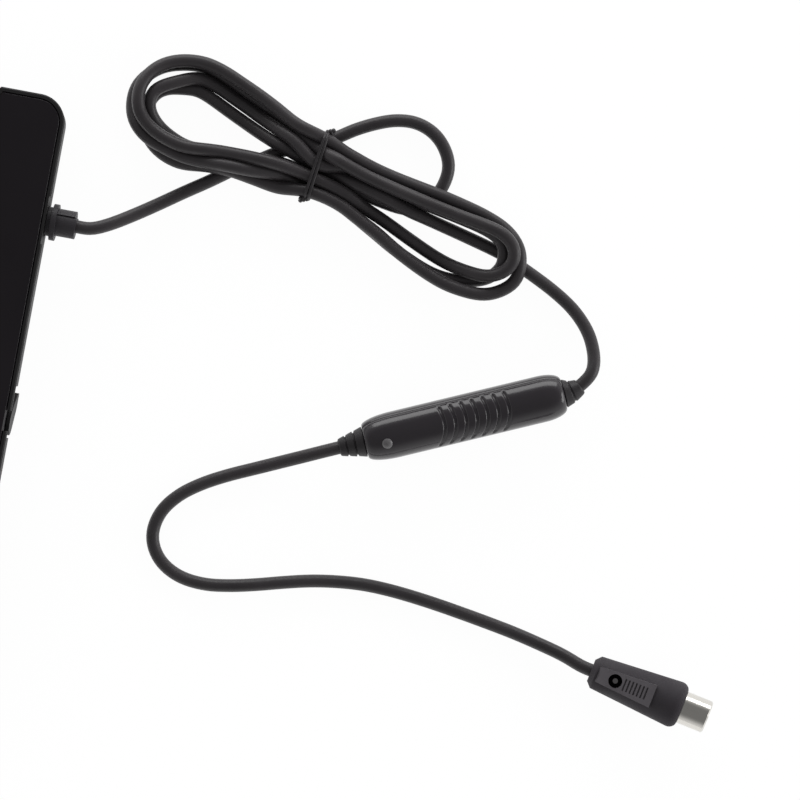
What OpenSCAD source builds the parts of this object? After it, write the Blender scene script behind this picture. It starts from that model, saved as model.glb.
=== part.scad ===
// Indoor TV antenna: a flat panel with a folding stand at its back, its lead
// with a small amplifier in line, and the aerial plug. Millimetres.
// Origin: middle of the panel, on the surface that it lies on. +Z points out of
// the front face and +Y towards the edge that the panel stands on in use.

/* [Panel case] */
// Width of the panel, from the far side to the side with the lead
panel_w = 230; // [210:5:260]
// Height of the panel
panel_h = 186; // [178:2:220]
// Thickness of the closed case
case_t = 14; // [13.5:0.5:18]
// Corner radius of the case
corner_r = 8; // [6:0.5:12]
// Wall of the rear cover
wall = 2.4; // [2.2:0.1:3]
// Floor of the rear cover
floor_t = 1.8; // [1.4:0.1:2.4]
// Width of the rim that frames the front cover
rim_w = 1.2; // [0.8:0.1:1.5]
// Thickness of the front cover
cover_t = 2; // [1.5:0.1:2.5]
// Gap between the front cover and the rim
cover_gap = 0.1; // [0.1:0.05:0.3]
// Chamfer on the front cover's edge
cover_edge = 0.4; // [0.2:0.1:0.8]
// Length of each land at the ends of the edge that the panel stands on
land_l = 21; // [15:1:30]
// Depth of the relief between the two lands
relief_d = 2; // [1:0.5:3]
// Depth of the flat in the side wall at the lead
flat_d = 0.5; // [0.2:0.1:0.8]
// Depth of the flats in the side walls behind the stand's ears
ear_flat_d = 1.4; // [1.2:0.1:1.5]

/* [Feet and screws] */
// Radius of a rubber foot
foot_r = 4.5; // [3.5:0.5:6]
// Height of a foot below the case
foot_h = 1; // [0.8:0.1:2]
// Distance of the feet from the panel's centre line
foot_x = 88; // [80:1:90]
// Radius of a case screw's shank
screw_r = 1.3; // [1:0.1:1.5]
// Length of a case screw's shank
screw_l = 8; // [7:0.5:8.5]
// Distance of the case screws from the panel's centre line
screw_x = 74; // [66:1:76]

/* [Stand] */
// Radius of the pivot stubs
pivot_r = 2.9; // [2:0.1:3.2]
// Height of the pivot above the case's back
pivot_up = 7; // [6.5:0.5:7.5]
// Radius of the ear round each pivot
ear_r = 4.2; // [4:0.1:4.5]
// Thickness of the ears
ear_t = 1; // [0.8:0.1:1.4]
// Gap between an ear and the case
ear_gap = 0.3; // [0.2:0.1:0.5]
// How far the ears reach along the side
ear_reach = 8; // [7:0.5:10]
// Thickness of the stand
stand_t = 2.8; // [2:0.1:3]
// Width of the stand's arms
arm_w = 10; // [7:0.5:12]
// Distance of the arms from the case's sides
arm_in = 4; // [4:0.5:6]
// Width of the stand's cross bar
bar_w = 12; // [9:0.5:14]
// Distance of the stand's end from the panel's edge
stand_in = 9; // [9:1:17]
// Running clearance of the pivot stubs
pivot_gap = 0.08; // [0.05:0.01:0.1]
// Clearance round the folded stand
stand_gap = 0.5; // [0.4:0.1:0.8]

/* [Antenna inside] */
// Thickness of the stamped element
element_t = 0.5; // [0.3:0.1:0.8]
// Width of the element's strips
strip_w = 12; // [8:1:16]
// Thickness of the circuit boards
board_t = 1.2; // [0.8:0.1:1.6]

/* [Lead] */
// Diameter of the coaxial lead
cable_d = 3.75; // [3:0.25:4.5]
// Height of the gland above the case's back
gland_up = 7.6; // [7.2:0.1:8]
// Distance of the gland from the end of the side
gland_in = 35; // [30:1:40]
// Radius of the gland's flange
gland_flange_r = 5.25; // [4.5:0.25:5.5]
// Radius of the gland's head
gland_head_r = 3.75; // [3.5:0.25:4]
// Length of the gland's head
gland_head_l = 5.6; // [4:0.2:8]
// Height of the bundled lead
hank_h = 10; // [7:0.5:12]

/* [Amplifier] */
// Length of the amplifier's case
amp_l = 58.5; // [54:0.5:66]
// Radius of the amplifier's case
amp_r = 6.7; // [6.2:0.1:8]
// Radius of the flat ends
amp_end_r = 4.6; // [4.2:0.1:5]
// Length of the rounded shoulders
shoulder_l = 6.5; // [5:0.5:9]
// Wall of the amplifier's case
amp_wall = 1.4; // [1:0.1:1.8]
// Number of grip grooves
groove_n = 7; // [5:1:8]
// Distance between grip grooves
groove_step = 3.15; // [2.6:0.05:3.4]
// Width of a grip groove
groove_w = 1; // [0.5:0.1:1.2]
// Depth of a grip groove
groove_d = 0.5; // [0.3:0.1:0.7]
// Diameter of the indicator lamp
lamp_d = 3; // [2:0.5:4]
// Length of a strain relief
boot_l = 8; // [6:0.5:9]
// Radius of a strain relief at its thin end
boot_tip_r = 3; // [2.8:0.1:3.4]

/* [Plug] */
// Length of the plug's body
plug_l = 28; // [24:0.5:32]
// Radius of the body at the lead
plug_rear_r = 4.75; // [4.5:0.05:5.5]
// Radius of the body at the metal end
plug_front_r = 6.75; // [6.5:0.05:8]
// Radius of the metal sleeve
sleeve_r = 4.75; // [4.75:0.005:4.765]
// Length of the sleeve outside the body
sleeve_l = 7.8; // [6:0.1:10]
// Wall of the sleeve
sleeve_wall = 0.5; // [0.3:0.05:0.8]
// Radius of the centre pin
pin_r = 1.15; // [1:0.05:1.2]
// Radius of the power socket's hole
jack_r = 2; // [1.6:0.1:2.2]
// Number of slots behind the power socket
slot_n = 7; // [4:1:8]
// Distance between the slots
slot_step = 1.08; // [0.9:0.02:1.2]

/* [Hidden] */
$fn = 64;
eps = 0.01;

// Heights in the panel
back_z = foot_h;
top_z = back_z + case_t;
floor_z = back_z + floor_t;
cover_z = top_z - cover_t;
side_x = panel_w / 2;
edge_y = panel_h / 2;
gland_y = edge_y - gland_in;
gland_z = back_z + gland_up;
pivot_z = back_z + pivot_up;

relief_slope = 1.5;
gland_flat_l = 13.8;

// Shape of the rear cover
case_draft = 0.8;
back_chamfer = 1.2;
rim_chamfer = 0.4;

// The folded stand and the recess that it lies in
stand_l = edge_y - stand_in;
stand_z = back_z + 0.3;
recess_z = stand_z + stand_t + stand_gap;
roof_t = 1.4;
roof_z = recess_z + roof_t;
arm_x = side_x - arm_in - arm_w;
root_y = 3.6;
root_room = 8.6;
pad_out = 0.6;
pad_t = 1.6;
pad_l = 80;
ear_x = side_x - ear_flat_d + ear_gap;
stub_in = 0.4;
tongue_t = 0.9;
tongue_side = 0.2;
ear_over = 0.5;

// Screws, feet and posts, as places on one half of the panel
screw_up = 8;
foot_up = 18;
seat_in = 13;
screw_ys = [stand_l - bar_w - screw_up, seat_in - edge_y];
foot_ys = [stand_l - bar_w - foot_up, seat_in - edge_y];
boss_r = 3.2;
screw_head_r = 2.5;
screw_head_t = 1.6;
screw_sink = 0.4;
screw_gap = 0.1;
head_gap = 0.4;
cross_l = 3.2;
cross_w = 0.6;
cross_d = 0.9;
boss_meet_z = 7.2;
foot_seat = 0.4;
foot_bevel = 0.3;
post_r = 2.2;
post_pin_r = 1;
post_pin_l = 0.7;
cradle_xs = [40, 92];
cradle_w = 7;
cradle_t = 2;

// The element and the board that feeds it
element_z = back_z + 9.4;
element_w = 192;
element_h = 110;
element_y = -14;
feed_gap = 4;
feed_tab_w = 8;
feed_y = element_y + element_h / 2;
board_z = back_z + 5;
board_w = 32;
board_h = 22;
board_y = gland_y - 1;
board_screw_x = 12.5;
board_screw_y = board_y + board_h / 2 - 2.7;
board_screw_r = 0.85;
board_head_r = 1.8;
board_head_t = 1.2;
board_screw_end_z = floor_z + 0.8;
tab_in = 3.5;
can_l = 13.7;
can_w = 8;
can_h = 3.8;
can_x = 3;
can_wall = 0.4;
element_round = 10;
post_in = 8;
post_xs = [post_in - element_w / 2, element_w / 2 - post_in];
post_end = 11;
post_ys = [for (s = [1, -1]) element_y + s * (element_h / 2 - post_end)];
window_round = 6;

// The gland
gland_collar_r = 4.2;
gland_flange_t = 1.45;
gland_flange_x = side_x + 0.9;
gland_head_x = gland_flange_x + gland_flange_t;
gland_end_x = gland_head_x + gland_head_l;
gland_neck_r = gland_collar_r - 1;
grip_y = 2.3;
grip_rise = 0.4;
cable_r = cable_d / 2;
fit_gap = 0.05;

// Amplifier: place, turn on the table and roll about its own axis
amp_at = [241.9, 24.5, amp_r];
amp_turn = 24;
amp_roll = 18;
amp_cavity_l = amp_l - 6.5;
amp_cavity_r = min(amp_r - amp_wall, amp_end_r + 0.6);
amp_board_l = amp_cavity_l - 4;
amp_board_w = 2 * sqrt(pow(amp_cavity_r, 2) - pow(board_t / 2, 2)) - 0.3;
half_gap = 0.05;
groove_bow = 11;
groove_span = [-5.4, 6.2];
groove_x = 3.3;
groove_y = 2.2;
lamp_x = 6.2;
boot_hole_r = 3;
boot_tail_l = 2.6;
boot_gap = 0.1;
boot_steps = 3;
boot_groove = 0.45;
boot_core_t = 0.8;
boot_bend = 36;

// Plug: place of its rear end, turn on the table and lift towards its front
plug_turn = -11.3;
front_round = 2.4;
front_in = 2;
plug_taper = (plug_front_r - plug_rear_r) / (plug_l - front_round);
plug_lift = atan(plug_taper);
plug_at = [290.92, -40.105, plug_rear_r];
pad_rear_x = 2;
pad_ramp_l = 3;
pad_end_x = 19.1;
pad_rear_w = 4.8;
pad_front_w = 6.9;
pad_rise = 0.4;
pad_floor_z = plug_rear_r - 1.5;
jack_x = 7.5;
jack_deep = 7;
jack_pin_r = 0.75;
slot_x = 10.3;
slot_w = 0.45;
slot_l = 3.6;
slot_d = 0.7;
sleeve_bevel = 0.4;
rear_chamfer = 1.5;
insulator_r = sleeve_r - sleeve_wall - fit_gap;
insulator_in = 6;
insulator_out = 2;
insulator_x = plug_l - insulator_in + 0.2;
pin_short = 0.8;

// Hank of the lead: middle and radius of its left end, waist and right end
hank_left = [145.5, 97, 16];
hank_waist = [187.7, 88.2, 9.5];
hank_right = [238, 71, 13.3];
tie_w = 1.6;
tie_t = 0.8;
tie_gap = 0.1;
tie_reach = 1.2;

// Routes of the lead where it isn't bundled, chosen by eye
lie_z = cable_r + 0.03;
near_route = [[side_x, gland_y, gland_z], [gland_end_x, gland_y, gland_z], [gland_end_x + 4, gland_y, gland_z],
              [132, 60.3, 7.3], [138, 64.2, 5], [144.5, 68.8, 3], [150.5, 73.2, 2], [157, 77.8, lie_z],
              [163, 82.3, lie_z]];
loop_route = [[190.5, 96.4, lie_z], [195.5, 99.8, lie_z], [201, 102.7, lie_z], [207, 104.9, lie_z],
              [213, 105.3, lie_z], [218.5, 103.3, lie_z], [222.5, 99.3, lie_z], [224.6, 94, lie_z],
              [223.4, 87.5, lie_z]];
far_route = concat([[249.5, 70.2, lie_z], [254, 68.2, lie_z], [261, 64.7, lie_z], [267.5, 60.4, 2.2],
              [272.6, 54.8, 3.2], [275.3, 48.6, 4.9]],
              [boot_tip(boot_bend) + 2.5 * heading(amp_turn + boot_bend), boot_tip(boot_bend)]);
plug_route = concat([boot_tip_out(), boot_tip_out() - 3 * heading(amp_turn)],
              [[199.2, 5.4, 5.4], [192.2, 2.2, 3.4], [185.2, -1, 2.2], [178.2, -4.2, lie_z],
               [171.4, -7.9, lie_z], [165.3, -12.5, lie_z], [161, -18.4, lie_z], [160, -25.4, lie_z],
               [163.2, -31.5, lie_z], [169.4, -35.2, lie_z], [177, -36.2, lie_z], [184.5, -35.3, lie_z],
               [192, -33.6, lie_z], [199.4, -31.6, lie_z], [206.8, -29.8, lie_z], [214.3, -28.6, lie_z],
               [222, -28, lie_z], [229.6, -28.2, lie_z], [237.1, -28.9, lie_z], [244.7, -29.9, lie_z],
               [252.3, -31.1, lie_z], [259.9, -32.4, lie_z], [267.4, -33.8, 2.1], [274.9, -35.5, 2.7],
               [282.3, -37.4, 3.7]],
              [plug_at - 3 * plug_axis(), plug_at]);

function heading(turn) = [cos(turn), sin(turn), 0];
function plug_axis() = [cos(plug_lift) * cos(plug_turn), cos(plug_lift) * sin(plug_turn), sin(plug_lift)];
function unit(v) = v / norm(v);

// A strain relief bends in equal steps; this is its middle line in its own frame
function boot_turn(k, bend) = bend * k / (boot_steps - 1);
function boot_bow(k, bend) = k == 0 ? [0, 0, 0] :
    boot_bow(k - 1, bend) + boot_l / boot_steps * heading(boot_turn(k - 1, bend));
function turned(v, a) = [v[0] * cos(a) - v[1] * sin(a), v[0] * sin(a) + v[1] * cos(a), v[2]];
function boot_tip(bend) = amp_at + amp_l / 2 * heading(amp_turn) + turned(boot_bow(boot_steps, bend), amp_turn);
function boot_tip_out() = amp_at - (amp_l / 2 + boot_l) * heading(amp_turn);

// Rings of a swept lead: 8 points square to the route at each of its points
function way(p, i) = i == 0 ? unit(p[1] - p[0]) :
    i == len(p) - 1 ? unit(p[i] - p[i - 1]) :
    unit(unit(p[i + 1] - p[i]) + unit(p[i] - p[i - 1]));
function ring(p, i, r, n) = let(t = way(p, i), side = unit(cross([0, 0, 1], t)), up = cross(t, side))
    [for (k = [0 : n - 1]) p[i] + r * (cos(360 * k / n) * side + sin(360 * k / n) * up)];

module swept(route, r, n = 8) {
    last = len(route) - 1;
    polyhedron(
        points = [for (i = [0 : last]) each ring(route, i, r, n)],
        faces = concat(
            [[for (k = [0 : n - 1]) k]],
            [[for (k = [n - 1 : -1 : 0]) last * n + k]],
            [for (i = [0 : last - 1], k = [0 : n - 1]) let(m = (k + 1) % n)
                each [[i * n + k, (i + 1) * n + k, (i + 1) * n + m], [i * n + k, (i + 1) * n + m, i * n + m]]]));
}

// Flat shapes with true round corners
module round_rect(w, h, r) {
    square([w - 2 * r, h], center = true);
    square([w, h - 2 * r], center = true);
    for (x = [-1, 1], y = [-1, 1]) translate([x * (w / 2 - r), y * (h / 2 - r)]) circle(r);
}

module relief(inset) {
    half = side_x - land_l;
    translate([0, edge_y - inset])
        polygon([[-half - inset - relief_slope, eps + inset], [-half - inset, -relief_d],
                 [half + inset, -relief_d], [half + inset + relief_slope, eps + inset]]);
}

module case_outline(inset) {
    difference() {
        round_rect(panel_w - 2 * inset, panel_h - 2 * inset, corner_r - inset);
        relief(inset);
    }
}

module both_sides() {
    children();
    mirror([1, 0, 0]) children();
}

// Rear cover: a tray with a rim, drafted walls and a recess for the stand
module case_level(z, inset) {
    translate([0, 0, z]) linear_extrude(eps) round_rect(panel_w - 2 * inset, panel_h - 2 * inset, corner_r - inset);
}

module case_form() {
    difference() {
        hull() {
            case_level(back_z, case_draft + back_chamfer);
            case_level(back_z + back_chamfer, case_draft);
            case_level(top_z - rim_chamfer, 0);
            case_level(top_z - eps, rim_chamfer);
        }
        translate([0, 0, back_z - 1]) linear_extrude(case_t + 2) relief(0);
    }
}

module stand_plan(grow) {
    half = side_x - arm_in + grow;
    translate([-half, stand_l - bar_w - grow]) square([2 * half, bar_w + 2 * grow]);
    both_sides() {
        translate([arm_x - grow, root_y - grow]) square([arm_w + 2 * grow, stand_l - root_y + grow]);
        translate([arm_x - grow, root_y - grow]) square([ear_x + ear_t - arm_x, ear_reach - root_y + 2 * grow]);
    }
}

module recess_plan(grow) {
    stand_plan(stand_gap + grow);
    both_sides() translate([arm_x - stand_gap - grow, root_y - root_room - grow])
        square([side_x - arm_x + 5, root_room + ear_reach - root_y + stand_gap]);
    translate([-pad_l / 2 - 1 - grow, stand_l]) square([pad_l + 2 + 2 * grow, pad_out + stand_gap + grow]);
}

module cavity() {
    translate([0, -relief_d / 2, floor_z]) linear_extrude(case_t)
        round_rect(panel_w - 2 * wall, panel_h - relief_d - 2 * wall, corner_r - wall);
}

module screw_places() {
    for (x = [-screw_x, screw_x], y = screw_ys) translate([x, y, 0]) children();
}

module foot_places() {
    for (x = [-foot_x, foot_x], y = foot_ys) translate([x, y, 0]) children();
}

module side_flat(deep, y0, y1, z1) {
    translate([side_x - deep, y0, back_z - 1]) cube([deep + 1, y1 - y0, z1 - back_z + 1]);
}

module pivot_notch() {
    r = pivot_r + pivot_gap;
    translate([side_x - wall - 1, 0, pivot_z]) {
        rotate([0, 90, 0]) cylinder(h = wall + 2, r = r);
        translate([0, -r, 0]) cube([wall + 2, 2 * r, case_t]);
    }
}

module rear_cover() {
    color([0.09, 0.09, 0.095])
    difference() {
        union() {
            difference() {
                case_form();
                cavity();
            }
            intersection() {
                translate([0, 0, floor_z - eps]) linear_extrude(roof_z - floor_z + eps) recess_plan(roof_t);
                translate([0, -relief_d / 2, 0]) linear_extrude(case_t)
                    round_rect(panel_w - 2 * wall + 1, panel_h - relief_d - 2 * wall + 1, corner_r - wall);
            }
            screw_places() translate([0, 0, floor_z - eps]) cylinder(h = boss_meet_z - floor_z + eps, r = boss_r);
            for (x = post_xs, y = post_ys) translate([x, y, floor_z - eps]) {
                cylinder(h = element_z - floor_z + eps, r = post_r);
                cylinder(h = element_z - floor_z + element_t + post_pin_l, r = post_pin_r);
            }
            for (x = [-board_screw_x, board_screw_x]) translate([x, board_screw_y, floor_z - eps])
                cylinder(h = board_z - floor_z + eps, r = post_r);
            for (x = cradle_xs) translate([x - cradle_t / 2, gland_y - cradle_w / 2, floor_z - eps])
                cube([cradle_t, cradle_w, gland_z - floor_z + eps]);
        }
        translate([0, 0, cover_z]) linear_extrude(case_t) case_outline(rim_w);
        translate([0, 0, back_z - 1]) linear_extrude(recess_z - back_z + 1) recess_plan(0);
        side_flat(flat_d, gland_y - gland_flat_l / 2, gland_y + gland_flat_l / 2, top_z + 1);
        both_sides() {
            side_flat(ear_flat_d, -ear_r - 1, ear_reach + 2, pivot_z + ear_r + ear_over);
            pivot_notch();
        }
        translate([side_x - wall - 2, gland_y, gland_z]) rotate([0, 90, 0])
            cylinder(h = wall + 3, r = gland_neck_r + screw_gap);
        for (x = cradle_xs) translate([x - cradle_t, gland_y, gland_z]) rotate([0, 90, 0])
            cylinder(h = 2 * cradle_t, r = cable_r + 2 * fit_gap);
        screw_places() {
            translate([0, 0, back_z - 1]) cylinder(h = screw_head_t + screw_sink + 1, r = screw_head_r + head_gap);
            translate([0, 0, back_z]) cylinder(h = case_t, r = screw_r + screw_gap);
        }
        for (x = [-board_screw_x, board_screw_x]) translate([x, board_screw_y, board_screw_end_z - head_gap])
            cylinder(h = case_t, r = board_screw_r + fit_gap);
        foot_places() translate([0, 0, back_z - 1]) cylinder(h = 1 + foot_seat, r = foot_r + screw_gap);
    }
}

// Front cover: a plate in the rim, with bosses for the screws and two tongues
// that close the pivots' notches
module front_cover() {
    inset = rim_w + cover_gap;
    color([0.075, 0.075, 0.08])
    difference() {
        union() {
            difference() {
                hull() {
                    case_level(cover_z, inset);
                    case_level(top_z - cover_edge - eps, inset);
                    case_level(top_z - eps, inset + cover_edge);
                }
                translate([0, 0, cover_z - 1]) linear_extrude(cover_t + 2) relief(inset);
            }
            screw_places() translate([0, 0, boss_meet_z + screw_gap])
                cylinder(h = cover_z - boss_meet_z - screw_gap + eps, r = boss_r);
            both_sides() translate([side_x - ear_flat_d - screw_gap - tongue_t, -pivot_r + tongue_side, pivot_z + pivot_r + screw_gap])
                cube([tongue_t, 2 * (pivot_r - tongue_side), cover_z - pivot_z - pivot_r]);
        }
        screw_places() translate([0, 0, back_z])
            cylinder(h = screw_sink + screw_head_t + screw_l + head_gap, r = screw_r + fit_gap);
    }
}

module cover_screws() {
    color([0.55, 0.55, 0.57])
    screw_places() translate([0, 0, back_z + screw_sink]) {
        difference() {
            cylinder(h = screw_head_t, r = screw_head_r);
            for (a = [0, 90]) rotate(a) translate([-cross_l / 2, -cross_w / 2, -eps]) cube([cross_l, cross_w, cross_d]);
        }
        cylinder(h = screw_head_t + screw_l, r = screw_r);
    }
}

module rubber_feet() {
    color([0.06, 0.06, 0.06])
    foot_places() {
        cylinder(h = foot_bevel + eps, r1 = foot_r - foot_bevel, r2 = foot_r);
        translate([0, 0, foot_bevel]) cylinder(h = foot_h + foot_seat - foot_bevel, r = foot_r);
    }
}

// Antenna element: one stamping, two loops fed across the gap in the middle
module element_plan() {
    win_w = (element_w - 3 * strip_w) / 2;
    difference() {
        translate([0, element_y]) round_rect(element_w, element_h, element_round);
        for (s = [-1, 1]) translate([s * (win_w + strip_w) / 2, element_y])
            round_rect(win_w, element_h - 2 * strip_w, window_round);
        translate([-feed_gap / 2, element_y]) square([feed_gap, element_h]);
        for (x = post_xs, y = post_ys) translate([x, y]) circle(post_pin_r + screw_gap);
    }
}

module antenna_element() {
    tab_y = board_y - board_h / 2 + tab_in;
    color([0.72, 0.72, 0.7]) {
        translate([0, 0, element_z]) linear_extrude(element_t) element_plan();
        for (s = [-1, 1]) translate([s * (feed_gap + feed_tab_w) / 2 - feed_tab_w / 2, 0, 0]) {
            translate([0, feed_y - 1, element_z]) cube([feed_tab_w, tab_y - feed_y + 1, element_t]);
            translate([0, tab_y - element_t, board_z + board_t])
                cube([feed_tab_w, element_t, element_z + element_t - board_z - board_t]);
        }
    }
}

module feed_board() {
    color([0.1, 0.32, 0.16])
    difference() {
        translate([-board_w / 2, board_y - board_h / 2, board_z]) cube([board_w, board_h, board_t]);
        for (x = [-board_screw_x, board_screw_x]) translate([x, board_screw_y, board_z - 1])
            cylinder(h = board_t + 2, r = board_screw_r + 2 * screw_gap);
    }
}

module shield_can() {
    z = board_z + board_t;
    color([0.75, 0.75, 0.74])
    difference() {
        translate([can_x, gland_y - can_w / 2, z]) cube([can_l, can_w, can_h]);
        translate([can_x + can_wall, gland_y - can_w / 2 + can_wall, z - 1])
            cube([can_l - 2 * can_wall, can_w - 2 * can_wall, can_h + 1 - can_wall]);
    }
}

module board_screws() {
    color([0.6, 0.6, 0.6])
    for (x = [-board_screw_x, board_screw_x]) translate([x, board_screw_y, 0]) {
        translate([0, 0, board_z + board_t]) cylinder(h = board_head_t, r = board_head_r);
        translate([0, 0, board_screw_end_z]) cylinder(h = board_z + board_t - board_screw_end_z + eps, r = board_screw_r);
    }
}

module inner_coax() {
    color([0.11, 0.11, 0.115])
    translate([can_x + can_l + fit_gap, gland_y, gland_z]) rotate([0, 90, 0])
        cylinder(h = side_x - can_x - can_l - 2 * fit_gap, r = cable_r);
}

// Gland: neck in the wall, collar, flange and a head split by its grip
module gland_body() {
    color([0.1, 0.1, 0.105])
    translate([0, gland_y, gland_z])
    difference() {
        union() {
            translate([side_x - wall + screw_gap, 0, 0]) rotate([0, 90, 0])
                cylinder(h = wall + 1, r = gland_neck_r);
            translate([side_x - flat_d + screw_gap, 0, 0]) rotate([0, 90, 0])
                cylinder(h = gland_flange_x - side_x + flat_d, r = gland_collar_r);
            translate([gland_flange_x, 0, 0]) rotate([0, 90, 0]) cylinder(h = gland_flange_t, r = gland_flange_r);
            difference() {
                translate([gland_head_x - eps, 0, 0]) rotate([0, 90, 0])
                    cylinder(h = gland_head_l + eps, r = gland_head_r);
                translate([gland_head_x, grip_y, -gland_head_r - 1])
                    cube([gland_head_l + 1, gland_head_r, 2 * gland_head_r + 2]);
            }
        }
        translate([side_x - wall - 1, 0, 0]) rotate([0, 90, 0])
            cylinder(h = wall + gland_head_l + 6, r = cable_r + fit_gap);
    }
}

module gland_grip() {
    color([0.13, 0.13, 0.135])
    translate([gland_head_x + fit_gap, gland_y, gland_z])
    intersection() {
        rotate([0, 90, 0]) cylinder(h = gland_head_l - grip_rise, r = gland_head_r + grip_rise);
        translate([-1, grip_y + fit_gap, -gland_head_r + grip_rise])
            cube([gland_head_l + 2, gland_head_r, 2 * (gland_head_r - grip_rise)]);
    }
}

// Stand: a U of flat arms that folds into the back, with an ear and a stub at
// each side
module stand_ear() {
    translate([ear_x, 0, 0]) {
        hull() {
            translate([0, 0, pivot_z]) rotate([0, 90, 0]) cylinder(h = ear_t, r = ear_r);
            translate([0, root_y, stand_z]) cube([ear_t, ear_reach - root_y, stand_t]);
        }
    }
}

module stand_frame() {
    color([0.1, 0.1, 0.105])
    difference() {
        union() {
            translate([0, 0, stand_z]) linear_extrude(stand_t) stand_plan(0);
            both_sides() {
                stand_ear();
                translate([side_x - wall - stub_in, 0, pivot_z]) rotate([0, 90, 0])
                    cylinder(h = ear_x + ear_t / 2 - side_x + wall + stub_in, r = pivot_r);
            }
        }
        translate([-pad_l / 2, stand_l - pad_t + pad_out, stand_z - 1]) cube([pad_l, pad_t, stand_t + 2]);
    }
}

module stand_pad() {
    color([0.06, 0.06, 0.06])
    translate([-pad_l / 2 + screw_gap, stand_l - pad_t + pad_out, stand_z])
        cube([pad_l - 2 * screw_gap, pad_t, stand_t]);
}

// Lead
module lead_near() { color([0.12, 0.12, 0.125]) swept(near_route, cable_r); }
module lead_loop() { color([0.12, 0.12, 0.125]) swept(loop_route, cable_r); }
module lead_far() { color([0.12, 0.12, 0.125]) swept(far_route, cable_r); }
module lead_plug() { color([0.12, 0.12, 0.125]) swept(plug_route, cable_r); }

module hank_disc(c) {
    translate([c[0], c[1]]) circle(c[2], $fn = 40);
}

module lead_hank() {
    channel = tie_w + 4 * tie_gap;
    deep = tie_t + 2 * tie_gap;
    half = hank_waist[2] + tie_reach;
    color([0.12, 0.12, 0.125])
    difference() {
        linear_extrude(hank_h) {
            hull() { hank_disc(hank_left); hank_disc(hank_waist); }
            hull() { hank_disc(hank_waist); hank_disc(hank_right); }
        }
        for (z = [-deep, hank_h - deep])
            translate([hank_waist[0] - channel / 2, hank_waist[1] - 2 * half, z]) cube([channel, 4 * half, 2 * deep]);
    }
}

module twist_tie() {
    half = hank_waist[2] + tie_reach;
    color([0.05, 0.05, 0.05])
    translate([hank_waist[0] - tie_w / 2, hank_waist[1], 0]) {
        difference() {
            translate([0, -half - tie_t, tie_gap]) cube([tie_w, 2 * half + 2 * tie_t, hank_h - 2 * tie_gap]);
            translate([-1, -half, tie_gap + tie_t]) cube([tie_w + 2, 2 * half, hank_h - 2 * tie_gap - 2 * tie_t]);
        }
        translate([tie_w / 2, half + tie_t - eps, hank_h / 2]) rotate([-90, 0, 0]) cylinder(h = 4, r = tie_w / 2);
    }
}

// Amplifier in line: two half cases, board, lamp and two strain reliefs
module in_amp() {
    translate(amp_at) rotate([0, 0, amp_turn]) rotate([amp_roll, 0, 0]) children();
}

// Half outline of the case: radius along its length, with elliptical shoulders
function shoulder_line() = [for (a = [0 : 10 : 90])
    [amp_end_r + (amp_r - amp_end_r) * sin(a), amp_l / 2 - shoulder_l * (1 - cos(a))]];

module amp_form() {
    line = shoulder_line();
    n = len(line) - 1;
    rotate([0, 90, 0]) rotate_extrude($fn = 96)
        polygon(concat([[0, -amp_l / 2]], [for (i = [0 : n]) [line[i][0], -line[i][1]]],
                       [for (i = [n : -1 : 0]) line[i]], [[0, amp_l / 2]]));
}

module amp_shell() {
    difference() {
        amp_form();
        translate([-amp_cavity_l / 2, 0, 0]) rotate([0, 90, 0])
            cylinder(h = amp_cavity_l, r = amp_cavity_r);
        translate([-amp_l / 2 - 1, 0, 0]) rotate([0, 90, 0]) cylinder(h = amp_l + 2, r = boot_hole_r);
    }
}

module amp_half(up) {
    intersection() {
        amp_shell();
        translate([-amp_l, -amp_r - 1, up ? half_gap : -2 * amp_r - half_gap])
            cube([2 * amp_l, 2 * amp_r + 2, 2 * amp_r]);
    }
}

module grip_groove(x) {
    intersection() {
        translate([x - groove_bow, groove_y, 0]) difference() {
            cylinder(h = amp_r, r = groove_bow + groove_w / 2);
            translate([0, 0, -1]) cylinder(h = amp_r + 2, r = groove_bow - groove_w / 2);
        }
        translate([x - groove_bow / 2, groove_span[0], 0]) cube([groove_bow, groove_span[1] - groove_span[0], 2 * amp_r]);
        rotate([0, 90, 0]) translate([0, 0, x - groove_bow]) difference() {
            cylinder(h = 2 * groove_bow, r = amp_r + 1);
            translate([0, 0, -1]) cylinder(h = 2 * groove_bow + 2, r = amp_r - groove_d);
        }
    }
}

module amp_upper_case() {
    color([0.07, 0.07, 0.075])
    in_amp() difference() {
        amp_half(true);
        for (k = [0 : groove_n - 1]) grip_groove(groove_x + (k - (groove_n - 1) / 2) * groove_step);
        translate([-amp_l / 2 + lamp_x, 0, 0]) cylinder(h = 2 * amp_r, r = lamp_d / 2 + fit_gap);
    }
}

module amp_lower_case() {
    color([0.07, 0.07, 0.075]) in_amp() amp_half(false);
}

module amp_board() {
    color([0.1, 0.32, 0.16])
    in_amp() translate([-amp_board_l / 2, -amp_board_w / 2, -board_t / 2]) cube([amp_board_l, amp_board_w, board_t]);
}

module amp_lamp() {
    color([0.7, 0.71, 0.7])
    in_amp() translate([-amp_l / 2 + lamp_x, 0, board_t / 2 + 0.1]) {
        cylinder(h = amp_r - board_t / 2 - 0.2, r = lamp_d / 2);
        translate([0, 0, amp_r - board_t / 2 - 0.2]) intersection() {
            translate([0, 0, -lamp_d / 2]) sphere(r = lamp_d / 2 * sqrt(2), $fn = 48);
            cylinder(h = lamp_d, r = lamp_d / 2);
        }
    }
}

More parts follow.
